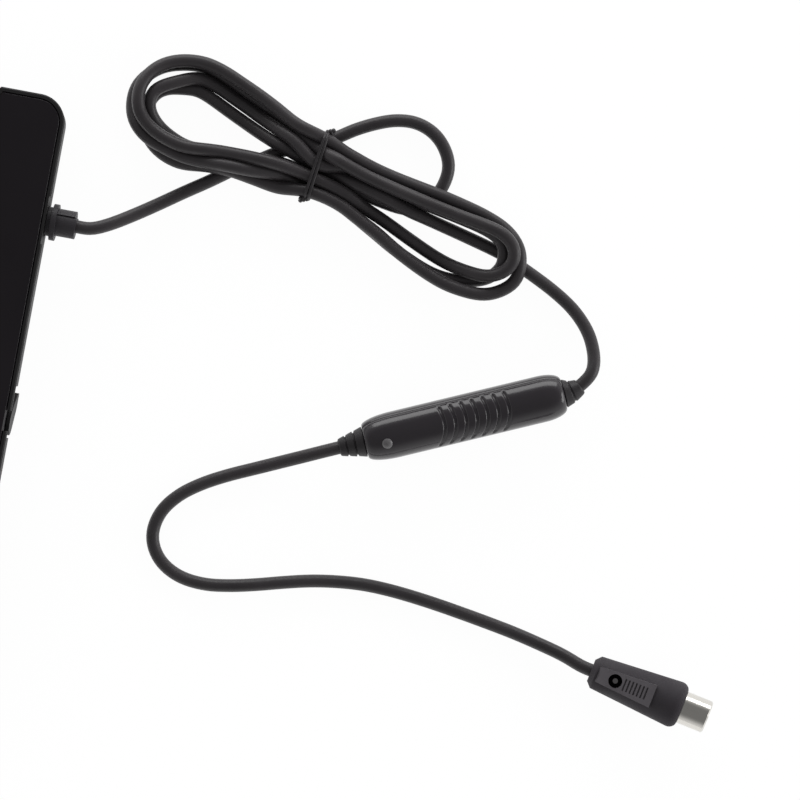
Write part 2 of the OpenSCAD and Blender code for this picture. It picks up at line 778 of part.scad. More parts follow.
// Strain relief: steps of a cone on a soft core, bent evenly if the lead bends it
module boot(bend) {
    step = boot_l / boot_steps;
    base_r = amp_end_r - boot_gap;
    core_r = cable_r + boot_core_t;
    rotate([0, 90, 0]) translate([0, 0, -boot_tail_l]) cylinder(h = boot_tail_l + eps, r = boot_hole_r - boot_gap);
    for (k = [0 : boot_steps - 1]) {
        r0 = base_r + (boot_tip_r - base_r) * k / boot_steps;
        r1 = base_r + (boot_tip_r - base_r) * (k + 1) / boot_steps;
        gap = k == 0 ? boot_gap : boot_groove;
        translate(boot_bow(k, bend)) rotate([0, 0, boot_turn(k, bend)]) rotate([0, 90, 0]) {
            cylinder(h = step, r = core_r);
            if (k > 0 && bend > 0) sphere(r = core_r);
            translate([0, 0, gap]) cylinder(h = step - gap, r1 = r0, r2 = r1);
        }
    }
}

module boot_in() {
    color([0.09, 0.09, 0.095])
    translate(amp_at) rotate([0, 0, amp_turn]) translate([amp_l / 2, 0, 0]) boot(boot_bend);
}

module boot_out() {
    color([0.09, 0.09, 0.095])
    translate(amp_at) rotate([0, 0, amp_turn + 180]) translate([amp_l / 2, 0, 0]) boot(0);
}

// Plug, drawn along +X from its rear end
module in_plug() {
    translate(plug_at) rotate([0, -plug_lift, plug_turn]) children();
}

function plug_r(x) = plug_rear_r + plug_taper * x;

module plug_form() {
    rotate([0, 90, 0]) rotate_extrude($fn = 96)
        polygon(concat([[0, 0], [plug_rear_r - rear_chamfer, 0], [plug_r(rear_chamfer), rear_chamfer]],
            [for (a = [0 : 15 : 90]) [plug_front_r - front_in * (1 - cos(a)), plug_l - front_round * (1 - sin(a))]],
            [[0, plug_l]]));
}

module pad_plan(inset) {
    polygon([[pad_rear_x + inset, -pad_rear_w / 2 + inset], [pad_end_x - inset, -pad_front_w / 2 + inset],
             [pad_end_x - inset, pad_front_w / 2 - inset], [pad_rear_x + inset, pad_rear_w / 2 - inset]]);
}

// Side view of the pad: a ramp up from the rear, then a top along the body's taper
module pad_side() {
    ramp_end = pad_rear_x + pad_ramp_l;
    polygon([[pad_rear_x - 1, 0], [pad_end_x + 1, 0], [pad_end_x + 1, plug_r(pad_end_x + 1) + pad_rise],
             [ramp_end, plug_r(ramp_end) + pad_rise], [pad_rear_x - 1, plug_rear_r - 0.6]]);
}

module pad_form(inset) {
    intersection() {
        translate([0, 0, pad_floor_z + inset]) linear_extrude(2 * plug_front_r) pad_plan(inset);
        rotate([90, 0, 0]) translate([0, 0, -plug_front_r]) linear_extrude(2 * plug_front_r) pad_side();
    }
}

module plug_body() {
    color([0.085, 0.085, 0.09])
    in_plug() difference() {
        plug_form();
        translate([0, 0, pad_floor_z]) linear_extrude(plug_front_r) pad_plan(0);
        translate([jack_x, 0, plug_r(jack_x) - jack_deep]) cylinder(h = jack_deep + 2, r = jack_r + 0.1);
        translate([plug_l - insulator_in, 0, 0]) rotate([0, 90, 0]) cylinder(h = insulator_in + 1, r = insulator_r + fit_gap);
    }
}

module jack_cover() {
    color([0.2, 0.2, 0.205])
    in_plug() difference() {
        pad_form(fit_gap);
        translate([jack_x, 0, -1]) cylinder(h = 2 * plug_front_r, r = jack_r);
        for (k = [0 : slot_n - 1]) let(x = slot_x + k * slot_step)
            translate([x - slot_w / 2, -slot_l / 2, plug_r(x) + pad_rise - slot_d]) cube([slot_w, slot_l, 4]);
    }
}

module jack_pin() {
    color([0.78, 0.76, 0.7])
    in_plug() translate([jack_x, 0, plug_r(jack_x) - jack_deep + fit_gap]) cylinder(h = jack_deep - 1, r = jack_pin_r);
}

module plug_sleeve() {
    len = sleeve_l - fit_gap;
    color([0.8, 0.79, 0.76])
    in_plug() translate([plug_l + fit_gap, 0, 0]) rotate([0, 90, 0]) rotate_extrude($fn = 96)
        polygon([[sleeve_r - sleeve_wall, 0], [sleeve_r, 0], [sleeve_r, len - sleeve_bevel],
                 [sleeve_r - sleeve_bevel, len], [sleeve_r - sleeve_wall, len]]);
}

module plug_insulator() {
    len = plug_l + insulator_out - insulator_x;
    color([0.85, 0.84, 0.8])
    in_plug() translate([insulator_x, 0, 0]) rotate([0, 90, 0]) difference() {
        cylinder(h = len, r = insulator_r);
        translate([0, 0, -1]) cylinder(h = len + 2, r = pin_r + fit_gap);
    }
}

module plug_pin() {
    len = plug_l + sleeve_l - pin_short - insulator_x;
    color([0.8, 0.7, 0.45])
    in_plug() translate([insulator_x, 0, 0]) rotate([0, 90, 0]) {
        cylinder(h = len - pin_r / 2, r = pin_r);
        translate([0, 0, len - pin_r / 2]) cylinder(h = pin_r / 2, r1 = pin_r, r2 = pin_r / 2);
    }
}

front_cover();
rear_cover();
cover_screws();
rubber_feet();
antenna_element();
feed_board();
shield_can();
board_screws();
inner_coax();
gland_body();
gland_grip();
stand_frame();
stand_pad();
lead_near();
lead_loop();
lead_hank();
lead_far();
twist_tie();
amp_upper_case();
amp_lower_case();
amp_board();
amp_lamp();
boot_in();
boot_out();
lead_plug();
plug_body();
jack_cover();
jack_pin();
plug_sleeve();
plug_insulator();
plug_pin();
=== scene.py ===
# %% [markdown]
# # A flat indoor TV antenna, dressed for its picture
#
# The object is a black panel that lies on its back, a coaxial lead that is bundled with a
# twist tie, a small amplifier in the lead, and the aerial plug at its end. The solids come
# from a CAD model as a fixed frame. This lesson gives each of them its finish, and makes
# the soft pieces, the lead and its tie, as they really lie.

# %% Load the frame
import math

import bpy
import numpy as np
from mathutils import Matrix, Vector


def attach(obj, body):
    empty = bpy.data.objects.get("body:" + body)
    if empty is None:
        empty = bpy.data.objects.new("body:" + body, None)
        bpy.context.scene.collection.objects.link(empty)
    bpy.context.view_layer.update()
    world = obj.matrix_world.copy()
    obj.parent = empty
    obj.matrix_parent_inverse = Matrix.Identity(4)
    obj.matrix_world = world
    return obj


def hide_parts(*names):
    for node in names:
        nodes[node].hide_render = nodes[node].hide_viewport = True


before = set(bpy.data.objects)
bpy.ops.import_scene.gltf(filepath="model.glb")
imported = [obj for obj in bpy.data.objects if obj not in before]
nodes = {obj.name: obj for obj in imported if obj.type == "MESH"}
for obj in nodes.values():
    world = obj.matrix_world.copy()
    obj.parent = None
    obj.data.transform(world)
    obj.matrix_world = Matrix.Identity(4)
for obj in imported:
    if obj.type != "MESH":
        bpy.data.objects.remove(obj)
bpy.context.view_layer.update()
MM = 0.001

# %% [markdown]
# ## The camera
#
# The picture was taken from straight above, about a metre away, with the camera turned a
# little about its own line of sight. A long lens keeps the panel's side walls out of sight.
# The camera is placed by numbers, because it has to meet the frame of an existing picture.

# %% Camera
camera_data = bpy.data.cameras.new("camera")
camera_data.lens = 156.2
camera_data.sensor_width = 36.0
camera_data.clip_start = 0.01
camera = bpy.data.objects.new("camera", camera_data)
camera.location = (0.22291, 0.02611, 1.0)
camera.rotation_euler = (0, 0, math.radians(10.5))
bpy.context.scene.collection.objects.link(camera)
bpy.context.scene.camera = camera
print("camera:", camera_data.lens, "mm lens,", camera.location.z, "m above the floor")

# %% [markdown]
# ## The table and the light
#
# The object lies on a white sheet, lit from all sides, so it has hardly any shadow. The
# floor looks white to the camera and in reflections, and still takes a little of the real
# shadow: its shader is mostly a white glow, with some plain white paint mixed in. The
# light is a pale world with two large soft lamps, which draw the bright bands on the
# glossy amplifier.

# %% Floor
def seen_directly(tree):
    """1 for rays that see a surface, straight or in a mirror, and 0 for light."""
    path = tree.nodes.new("ShaderNodeLightPath")
    first = tree.nodes.new("ShaderNodeMath")
    first.operation = "MAXIMUM"
    tree.links.new(path.outputs["Is Camera Ray"], first.inputs[0])
    tree.links.new(path.outputs["Is Glossy Ray"], first.inputs[1])
    second = tree.nodes.new("ShaderNodeMath")
    second.operation = "MAXIMUM"
    tree.links.new(first.outputs[0], second.inputs[0])
    tree.links.new(path.outputs["Is Transmission Ray"], second.inputs[1])
    return second.outputs[0]


def white_floor(half_side=3.0, just_below=0.0001, glow_strength=1.07, glow_share=0.9):
    mesh = bpy.data.meshes.new("floor")
    corners = [(-1, -1), (1, -1), (1, 1), (-1, 1)]
    mesh.from_pydata([(x * half_side, y * half_side, 0) for x, y in corners], [], [(0, 1, 2, 3)])
    floor = bpy.data.objects.new("floor", mesh)
    floor.location = (0.15, 0, -just_below)
    bpy.context.scene.collection.objects.link(floor)
    paint = bpy.data.materials.new("white_sheet")
    paint.use_nodes = True
    tree = paint.node_tree
    tree.nodes.clear()
    out = tree.nodes.new("ShaderNodeOutputMaterial")
    matt = tree.nodes.new("ShaderNodeBsdfDiffuse")
    matt.inputs["Color"].default_value = (0.9, 0.9, 0.9, 1)
    glow = tree.nodes.new("ShaderNodeEmission")
    glow.inputs["Color"].default_value = (1, 1, 1, 1)
    glow.inputs["Strength"].default_value = glow_strength
    both = tree.nodes.new("ShaderNodeMixShader")
    both.inputs["Fac"].default_value = glow_share
    tree.links.new(matt.outputs[0], both.inputs[1])
    tree.links.new(glow.outputs[0], both.inputs[2])
    pick = tree.nodes.new("ShaderNodeMixShader")
    tree.links.new(seen_directly(tree), pick.inputs["Fac"])
    tree.links.new(matt.outputs[0], pick.inputs[1])
    tree.links.new(both.outputs[0], pick.inputs[2])
    tree.links.new(pick.outputs[0], out.inputs["Surface"])
    mesh.materials.append(paint)


white_floor()
print("floor: one white sheet")

# %% World and lamps
def pale_world(zenith, horizon, seen):
    """A world that is brighter towards the horizon, and plain white where the camera sees it."""
    world = bpy.data.worlds.new("world")
    bpy.context.scene.world = world
    world.use_nodes = True
    tree = world.node_tree
    tree.nodes.clear()
    out = tree.nodes.new("ShaderNodeOutputWorld")
    lit = tree.nodes.new("ShaderNodeBackground")
    lit.inputs["Color"].default_value = (1, 1, 1, 1)
    where = tree.nodes.new("ShaderNodeTexCoord")
    height = tree.nodes.new("ShaderNodeSeparateXYZ")
    tree.links.new(where.outputs["Generated"], height.inputs[0])
    fade = tree.nodes.new("ShaderNodeMapRange")
    fade.interpolation_type = "SMOOTHSTEP"
    fade.inputs["From Min"].default_value = 0.1
    fade.inputs["From Max"].default_value = 0.8
    fade.inputs["To Min"].default_value = horizon
    fade.inputs["To Max"].default_value = zenith
    tree.links.new(height.outputs["Z"], fade.inputs["Value"])
    tree.links.new(fade.outputs["Result"], lit.inputs["Strength"])
    shown = tree.nodes.new("ShaderNodeBackground")
    shown.inputs["Color"].default_value = (1, 1, 1, 1)
    shown.inputs["Strength"].default_value = seen
    path = tree.nodes.new("ShaderNodeLightPath")
    mix = tree.nodes.new("ShaderNodeMixShader")
    tree.links.new(path.outputs["Is Camera Ray"], mix.inputs["Fac"])
    tree.links.new(lit.outputs[0], mix.inputs[1])
    tree.links.new(shown.outputs[0], mix.inputs[2])
    tree.links.new(mix.outputs[0], out.inputs["Surface"])


def soft_lamp(name, place, target, size, watts):
    data = bpy.data.lights.new(name, "AREA")
    data.shape = "RECTANGLE"
    data.size, data.size_y = size
    data.energy = watts
    lamp = bpy.data.objects.new(name, data)
    lamp.location = place
    lamp.rotation_mode = "QUATERNION"
    lamp.rotation_quaternion = (Vector(target) - Vector(place)).to_track_quat("-Z", "Y")
    bpy.context.scene.collection.objects.link(lamp)


pale_world(zenith=0.2, horizon=0.7, seen=1.0)
lit_place = (0.2, 0, 0)
soft_lamp("lamp_far_side", (-0.16, 1.97, 0.42), lit_place, size=(2.4, 1.0), watts=19)
soft_lamp("lamp_lead_side", (2.15, 0.36, 0.45), lit_place, size=(1.3, 0.7), watts=9)

# %% [markdown]
# ## Finishes
#
# Nearly everything here is black plastic, so what tells the pieces apart is how they
# shine. Moulded plastic has a fine grain that breaks up its reflections, soft PVC is
# smoother but has shallow waves, and polished plastic is like a dark mirror. One function
# builds such a finish: a fine noise gives the grain by way of a bump, and a broad noise
# varies the colour and the roughness a little, as handling and moulding do. Values that
# are the same all over are set on the shader's own sockets.

# %% A helper for finishes
def finish(name, colour, roughness, grain=0.0004, depth=0.00003, drift=0.12, patch=0.02,
           metal=0.0, coat=0.0, sheen=0.0, specular=0.5):
    """The finish of a plastic, a rubber or a metal. Grain, depth and patch are in metres."""
    material = bpy.data.materials.new(name)
    material.use_nodes = True
    tree = material.node_tree
    shader = tree.nodes["Principled BSDF"]
    shader.inputs["Metallic"].default_value = metal
    shader.inputs["Coat Weight"].default_value = coat
    shader.inputs["Coat Roughness"].default_value = 0.06
    shader.inputs["Sheen Weight"].default_value = sheen
    shader.inputs["Specular IOR Level"].default_value = specular
    where = tree.nodes.new("ShaderNodeTexCoord")
    broad = tree.nodes.new("ShaderNodeTexNoise")
    broad.inputs["Scale"].default_value = 1 / patch
    broad.inputs["Detail"].default_value = 4
    tree.links.new(where.outputs["Object"], broad.inputs["Vector"])
    tint = tree.nodes.new("ShaderNodeValToRGB")
    low, high = 0.3, 0.7  # where most of the noise lies
    dark, light = tint.color_ramp.elements
    dark.position, dark.color = low, (*[c * (1 - drift) for c in colour], 1)
    light.position, light.color = high, (*[min(1, c * (1 + drift)) for c in colour], 1)
    tree.links.new(broad.outputs["Fac"], tint.inputs["Fac"])
    tree.links.new(tint.outputs["Color"], shader.inputs["Base Color"])
    rough = tree.nodes.new("ShaderNodeMapRange")
    rough.inputs["From Min"].default_value = low
    rough.inputs["From Max"].default_value = high
    rough.inputs["To Min"].default_value = roughness * 0.85
    rough.inputs["To Max"].default_value = min(1, roughness * 1.15)
    tree.links.new(broad.outputs["Fac"], rough.inputs["Value"])
    tree.links.new(rough.outputs["Result"], shader.inputs["Roughness"])
    fine = tree.nodes.new("ShaderNodeTexNoise")
    fine.inputs["Scale"].default_value = 1 / grain
    fine.inputs["Detail"].default_value = 3
    tree.links.new(where.outputs["Object"], fine.inputs["Vector"])
    bump = tree.nodes.new("ShaderNodeBump")
    bump.inputs["Strength"].default_value = 0.6
    bump.inputs["Distance"].default_value = depth
    tree.links.new(fine.outputs["Fac"], bump.inputs["Height"])
    tree.links.new(bump.outputs["Normal"], shader.inputs["Normal"])
    return material


# %% The finishes, piece by piece
front_satin = finish("front_satin", (0.0046, 0.0014, 0.0050), 0.42, grain=0.0005, depth=0.00002,
                     patch=0.06)
rear_texture = finish("rear_texture", (0.0075, 0.0066, 0.0076), 0.62, grain=0.0006, depth=0.00007,
                      patch=0.03)
stand_texture = finish("stand_texture", (0.012, 0.0108, 0.0122), 0.58, grain=0.0006,
                       depth=0.00006, patch=0.02)
foot_rubber = finish("foot_rubber", (0.013, 0.013, 0.013), 0.85, grain=0.0003, depth=0.00004,
                     specular=0.3)
lead_pvc = finish("lead_pvc", (0.046, 0.0405, 0.0445), 0.44, grain=0.003, depth=0.00006,
                  drift=0.18, patch=0.015, sheen=0.05)
soft_mould = finish("soft_mould", (0.026, 0.0228, 0.026), 0.5, grain=0.0006, depth=0.00004)
gland_nylon = finish("gland_nylon", (0.040, 0.0355, 0.042), 0.5, grain=0.0005, depth=0.00003)
amp_polish = finish("amp_polish", (0.034, 0.0288, 0.0348), 0.2, grain=0.004, depth=0.00002,
                    drift=0.05, patch=0.03, coat=0.25)
lamp_milk = finish("lamp_milk", (0.17, 0.163, 0.17), 0.4, grain=0.002, depth=0.00001, drift=0.06,
                   patch=0.002, coat=0.5)
plug_satin = finish("plug_satin", (0.041, 0.035, 0.0425), 0.7, grain=0.0005, depth=0.00003,
                    patch=0.01)
jack_grey = finish("jack_grey", (0.15, 0.138, 0.152), 0.42, grain=0.0005, depth=0.00003,
                   patch=0.008)
# The jack pin's nickel is painted darker than the sleeve's: painted shade for a pin that sits
# deep in its dark hole.
pin_nickel_painted_shade = finish("pin_nickel_painted_shade", (0.26, 0.25, 0.25), 0.3, grain=0.0009, depth=0.000012,
                    drift=0.04, patch=0.006, metal=1.0)
nickel = finish("nickel", (0.72, 0.70, 0.66), 0.16, grain=0.0009, depth=0.000012, drift=0.04,
                patch=0.006, metal=1.0)
tinned = finish("tinned", (0.56, 0.56, 0.54), 0.36, grain=0.001, depth=0.00003, drift=0.1,
                patch=0.012, metal=1.0)
zinc = finish("zinc", (0.5, 0.5, 0.52), 0.34, grain=0.0006, depth=0.00002, drift=0.12,
              patch=0.002, metal=1.0)
pin_brass = finish("pin_brass", (0.72, 0.58, 0.34), 0.22, grain=0.0008, depth=0.00001, drift=0.05,
                   patch=0.004, metal=1.0)
insulator = finish("insulator", (0.70, 0.69, 0.65), 0.5, grain=0.001, depth=0.00002, drift=0.04)
board_green = finish("board_green", (0.016, 0.12, 0.042), 0.34, grain=0.0012, depth=0.00002,
                     drift=0.15, patch=0.006, coat=0.3)
tie_black = finish("tie_black", (0.03, 0.0262, 0.0295), 0.45, grain=0.0006, depth=0.00004)

dress = {
    "front_cover": front_satin, "rear_cover": rear_texture, "cover_screws": zinc,
    "rubber_feet": foot_rubber, "antenna_element": tinned, "feed_board": board_green,
    "shield_can": tinned, "board_screws": zinc, "inner_coax": lead_pvc, "gland_body": gland_nylon,
    "gland_grip": gland_nylon, "stand_frame": stand_texture, "stand_pad": foot_rubber,
    "lead_near": lead_pvc, "lead_loop": lead_pvc, "lead_hank": lead_pvc, "lead_far": lead_pvc,
    "lead_plug": lead_pvc, "twist_tie": tie_black, "amp_upper_case": amp_polish,
    "amp_lower_case": amp_polish, "amp_board": board_green, "amp_lamp": lamp_milk,
    "boot_in": soft_mould, "boot_out": soft_mould, "plug_body": plug_satin,
    "jack_cover": jack_grey, "jack_pin": pin_nickel_painted_shade, "plug_sleeve": nickel,
    "plug_insulator": insulator, "plug_pin": pin_brass,
}
for name, material in dress.items():
    mesh = nodes[name].data
    mesh.materials.clear()
    mesh.materials.append(material)
print("dressed", len(dress), "of", len(nodes), "pieces")

# %% [markdown]
# ## The lead from the panel to the amplifier
#
# This is one coaxial lead, 3.75 mm thick. It leaves the gland, runs straight under the
# bundle, makes one open bow beyond the tie, and then goes round the bundle in long
# loops: four at the left end and three at the right. Its last stretch runs out under
# the right ends, to the amplifier. It could be simulated, but the way such a bundle lies
# is known from the picture, so it is made as one smooth curve. The free stretches are
# given lists of points. The loops share one middle line for each end, and each
# loop has its own distance from that line and its own height, because every turn lies
# beside or on top of the turn before. The given turns still meet here and there, so a
# short settling step then pushes those apart.

# %% A smooth path through points
lie_z = 1.905  # height of the lead's middle where it lies on the floor, in mm


def smooth_path(points, step=1.2, rounds=3, dense_step=0.3):
    """Points in mm on a smooth curve through the given ones, a fixed step apart."""
    p = np.array(points, float)
    p = np.vstack([2 * p[0] - p[1], p, 2 * p[-1] - p[-2]])
    dense = []
    for i in range(1, len(p) - 2):
        a, b, c, d = p[i - 1:i + 3]
        n = max(4, int(np.linalg.norm(c - b) / dense_step))
        for t in np.linspace(0, 1, n, endpoint=False):
            dense.append(0.5 * (2 * b + (c - a) * t + (2 * a - 5 * b + 4 * c - d) * t ** 2
                                + (3 * b - a - 3 * c + d) * t ** 3))
    dense = np.array(dense + [p[-2]])
    way = np.concatenate([[0], np.cumsum(np.linalg.norm(np.diff(dense, axis=0), axis=1))])
    at = np.linspace(0, way[-1], max(2, round(way[-1] / step)) + 1)
    path = np.stack([np.interp(at, way, dense[:, k]) for k in range(3)], axis=1)
    for _ in range(rounds):
        path[1:-1] = path[1:-1] * 0.5 + (path[:-2] + path[2:]) * 0.25
    path[:, 2] = np.maximum(path[:, 2], lie_z)
    return path


def path_length(path):
    return float(np.linalg.norm(np.diff(path, axis=0), axis=1).sum())


def tightest_bend(path):
    """The smallest radius of the path, over 4 steps each way, and where it is."""
    reach = 4
    a, b, c = path[:-2 * reach], path[reach:-reach], path[2 * reach:]
    ab, bc, ca = (np.linalg.norm(v, axis=1) for v in (b - a, c - b, a - c))
    area = np.linalg.norm(np.cross(b - a, c - a), axis=1) / 2
    radius = ab * bc * ca / np.maximum(4 * area, 1e-6)
    i = int(radius.argmin())
    return round(float(radius[i]), 1), [round(float(v), 1) for v in b[i]]


# %% The loops' middle lines, heights and distances
left_line = [(187.0, 84.3), (178.2, 83.5), (169.6, 84.0), (162.3, 84.2), (155.6, 84.1),
             (148.8, 84.2), (143.2, 85.9), (138.7, 88.4), (135.2, 92.2), (133.7, 96.2),
             (133.6, 100.9), (135.6, 105.3), (139.0, 108.5), (143.4, 110.3), (147.8, 110.9),
             (151.7, 110.7), (156.8, 109.2), (162.2, 106.8), (167.4, 104.4), (173.1, 101.5),
             (177.8, 99.0), (182.1, 97.2), (188.0, 93.2)]
right_line = [(188.3, 91.5), (195.5, 88.8), (202.6, 86.8), (209.6, 85.2), (216.6, 83.6),
              (223.6, 82.1), (230.5, 80.8), (237.4, 79.6), (242.9, 78.2), (246.5, 75.5),
              (247.7, 72.0), (246.0, 68.2), (241.0, 65.5), (233.2, 66.1), (226.1, 68.1),
              (216.4, 72.4), (209.6, 75.7), (203.2, 78.6), (196.4, 81.8), (187.0, 84.2)]
# Places side by side inside the tie
tie_slots = {2: (189.1, 95.1), 1: (188.3, 91.5), 0: (187.5, 87.9), -1: (186.8, 84.2),
             -2: (186.0, 80.6)}

# Each loop has its slot at the tie on the way in and out, its distances inward from the
# middle line and its heights. Both are in mm, one at every point of that line.
left_loops = [
    (-1, 0,
     [0, 2.6, 2.4, 2.1, 2.2, 2.5, 2.8, 2.9, 2.9, 3.0, 3.8, 5.2, 6.0, 5.8, 4.8, 4.3, 4.1, 3.9, 3.7,
      3.6, 3.7, 4.3, 0],
     [1.9, 3.4, 5.4, 4.6, 3.0, 1.9, 1.9, 2.8, 4.6, 5.5, 5.4, 5.2, 5.0, 4.2, 3.4, 2.4, 1.9, 1.9,
      2.2, 3.4, 5.2, 5.9, 5.65]),
    (-2, 1,
     [0, -0.9, -1.2, -1.2, -1.1, -0.8, -0.8, -1.2, -1.4, -1.5, -1.3, -0.4, 0.3, 0.8, 0.9, 1.1,
      1.3, 1.4, 1.5, 1.7, 1.7, 2.1, 0],
     [1.9, 4.6, 7.6, 7.8, 6.2, 5.0, 4.2, 3.2, 2.2, 1.9, 1.9, 1.9, 1.9, 1.9, 1.9, 1.9, 1.9, 2.2,
      2.8, 3.4, 4.6, 6.0, 5.65]),
    (-1, 2,
     [0, 2.2, 2.2, 2.0, 1.9, 1.7, 1.2, 0.6, 0.2, 0, 0, 0, 0, 0, 0, 0, 0, 0, 0, 0.1, 0.4, 0.5, 0],
     [5.65, 7.4, 8.1, 8.1, 8.1, 8.1, 7.4, 6.6, 7.4, 8.1, 7.8, 6.6, 5.6, 5.4, 5.5, 5.5, 5.5, 5.2,
      5.0, 5.4, 6.0, 6.4, 5.65]),
    (-2, 0,
     [0, -2.4, -2.5, -2.1, -2.0, -2.5, -2.4, -1.5, 0.3, 2.4, 4.2, 5.9, 7.0, 7.6, 7.6, 7.8, 8.2,
      8.4, 8.4, 8.0, 7.2, 6.7, 0],
     [5.65, 4.8, 4.9, 5.0, 3.6, 1.9, 1.9, 1.9, 1.9, 1.9, 1.9, 1.9, 1.9, 1.9, 1.9, 1.9, 1.9, 1.9,
      2.2, 3.4, 5.0, 5.4, 1.9]),
]
right_loops = [
    (0, -2,
     [0, 1.4, 1.1, 1.1, 0.9, 0.4, 0.2, 0.5, 1.3, 2.4, 3.1, 1.6, -0.5, -3.2, -4.6, -4.9, -4.5,
      -3.9, -3.4, 0],
     [5.65, 3.8, 2.4, 3.2, 4.6, 5.0, 4.6, 4.6, 5.2, 5.5, 5.3, 4.6, 3.4, 1.9, 1.9, 1.9, 1.9, 1.9,
      1.9, 1.9]),
    (1, -1,
     [0] * 20,
     [5.65, 6.4, 6.3, 7.2, 8.1, 8.1, 8.0, 8.0, 8.1, 8.1, 8.1, 6.4, 5.0, 3.6, 2.2, 1.9, 1.9, 2.4,
      3.8, 5.65]),
    (2, -2,
     [0, -3.1, -3.2, -3.3, -3.5, -3.6, -3.3, -2.6, -1.7, -1.3, -1.8, -4.2, -5.2, -5.6, -5.4, -5.0,
      -4.3, -3.9, -3.5, 0],
     [5.65, 5.0, 4.2, 3.8, 4.8, 5.4, 4.4, 3.4, 3.6, 4.8, 5.4, 4.6, 5.0, 5.5, 5.65, 5.65, 5.65,
      5.65, 5.65, 5.65]),
]


def beside(line, start_slot, end_slot, inward, heights):
    """One loop: the middle line moved inward at each point, between two slots of the tie."""
    p = np.array(line, float)
    along = np.gradient(p, axis=0)
    along /= np.linalg.norm(along, axis=1)[:, None]
    normal = np.stack([along[:, 1], -along[:, 0]], axis=1)
    p = p + normal * np.array(inward)[:, None]
    p[0], p[-1] = tie_slots[start_slot], tie_slots[end_slot]
    return [(x, y, z) for (x, y), z in zip(p, heights)]


# %% The whole lead, from the gland to the amplifier
from_gland = [(115, 58, 8.6), (122.95, 58, 8.6), (126.95, 58, 8.6), (132, 60.3, 7.3),
              (138, 64.2, 5), (144.5, 68.8, 3), (150.5, 73.2, 2), (157, 77.8, lie_z),
              (163, 82.3, lie_z)]
under_bundle = [(169.5, 85.6, lie_z), (176.5, 89.6, lie_z), (183.5, 93.1, lie_z)]
open_bow = [(190.5, 96.4, lie_z), (195.5, 99.8, lie_z), (201, 102.7, lie_z), (207, 104.9, lie_z),
            (213, 105.3, lie_z), (218.5, 103.3, lie_z), (222.5, 99.3, lie_z), (224.6, 94, lie_z),
            (223.4, 87.5, lie_z)]
back_to_tie = [(219.8, 82.2, lie_z), (214.9, 80.4, lie_z), (209.3, 81.0, lie_z),
               (203.0, 82.5, lie_z), (195.5, 84.2, lie_z)]
last_stretch = [(193.7, 86.4, 2.6), (203.1, 83.7, 4.0), (209.0, 82.2, 5.2), (213.0, 81.1, 5.2),
                (219.5, 79.4, 3.8), (226.0, 77.6, 2.2), (232.0, 76.0, lie_z),
                (238.0, 74.4, lie_z), (244.0, 72.6, lie_z)]
to_amplifier = [(249.5, 70.2, lie_z), (254, 68.2, lie_z), (261, 64.7, lie_z), (267.5, 60.4, 2.2),
                (272.6, 54.8, 3.2), (275.3, 48.6, 4.9), (275.62, 43.9, 6.6), (274.37, 41.58, 6.7),
                (272.36, 38.85, 6.7), (271.4, 38.0, 6.7)]

points = from_gland + under_bundle + open_bow + back_to_tie
for k, loop in enumerate(left_loops):
    points += beside(left_line, *loop)
    if k < len(right_loops):
        points += beside(right_line, *right_loops[k])[1:-1]
points += last_stretch + to_amplifier


def settle(path, apart=3.68, rounds=90, tie_x=187.4, held=2.0, fade=6.0, end_steps=30,
           same_turn=10):
    """Pushes turns that would pass through each other apart, but not at the tie and the ends."""
    steps = np.abs(np.arange(len(path))[:, None] - np.arange(len(path))[None])
    free = np.clip((np.abs(path[:, 0] - tie_x) - held) / fade, 0, 1)
    free[:end_steps] = free[-end_steps:] = 0
    moved = np.zeros_like(path)
    for _ in range(rounds):
        p = path + moved
        away = p[:, None] - p[None]
        far = np.linalg.norm(away, axis=2)
        far[steps < same_turn] = 99  # points of one turn don't push each other
        short = np.clip(apart - far, 0, None)
        pushed_by = np.maximum((short > 0).sum(axis=1), 1)
        push = (away * (short / far)[..., None]).sum(axis=1) / pushed_by[:, None]
        moved += push * (0.3, 0.3, 0.8) * free[:, None]  # mostly up and down
        moved[1:-1] = moved[1:-1] * 0.6 + (moved[:-2] + moved[2:]) * 0.2
        moved[:, 2] = np.maximum(moved[:, 2], lie_z - path[:, 2])
    return path + moved


first_path = settle(smooth_path(points))
print("first lead:", round(path_length(first_path) / 1000, 3), "m, tightest bend",
      *tightest_bend(first_path))

# %% The lead from the amplifier to the plug
to_plug = [(208.6, 9.68, 6.7), (205.13, 8.13, 6.7), (199.2, 5.4, 5.4), (192.2, 2.2, 3.4),
           (185.2, -1, 2.2), (178.2, -4.2, lie_z), (171.4, -7.9, lie_z), (165.3, -12.5, lie_z),
           (161, -18.4, lie_z), (160, -25.4, lie_z), (163.2, -31.5, lie_z), (169.4, -35.2, lie_z),
           (177, -36.2, lie_z), (184.5, -35.3, lie_z), (192, -33.6, lie_z), (199.4, -31.6, lie_z),
           (206.8, -29.8, lie_z), (214.3, -28.6, lie_z), (222, -28, lie_z), (229.6, -28.2, lie_z),
           (237.1, -28.9, lie_z), (244.7, -29.9, lie_z), (252.3, -31.1, lie_z),
           (259.9, -32.4, lie_z), (267.4, -33.8, 2.1), (274.9, -35.5, 2.7), (282.3, -37.4, 3.7),
           (287.99, -39.52, 4.52), (290.92, -40.1, 4.75)]
second_path = smooth_path(to_plug)
print("second lead:", round(path_length(second_path) / 1000, 3), "m, tightest bend",
      *tightest_bend(second_path))


# %% Two round curves
lead_d = 3.75


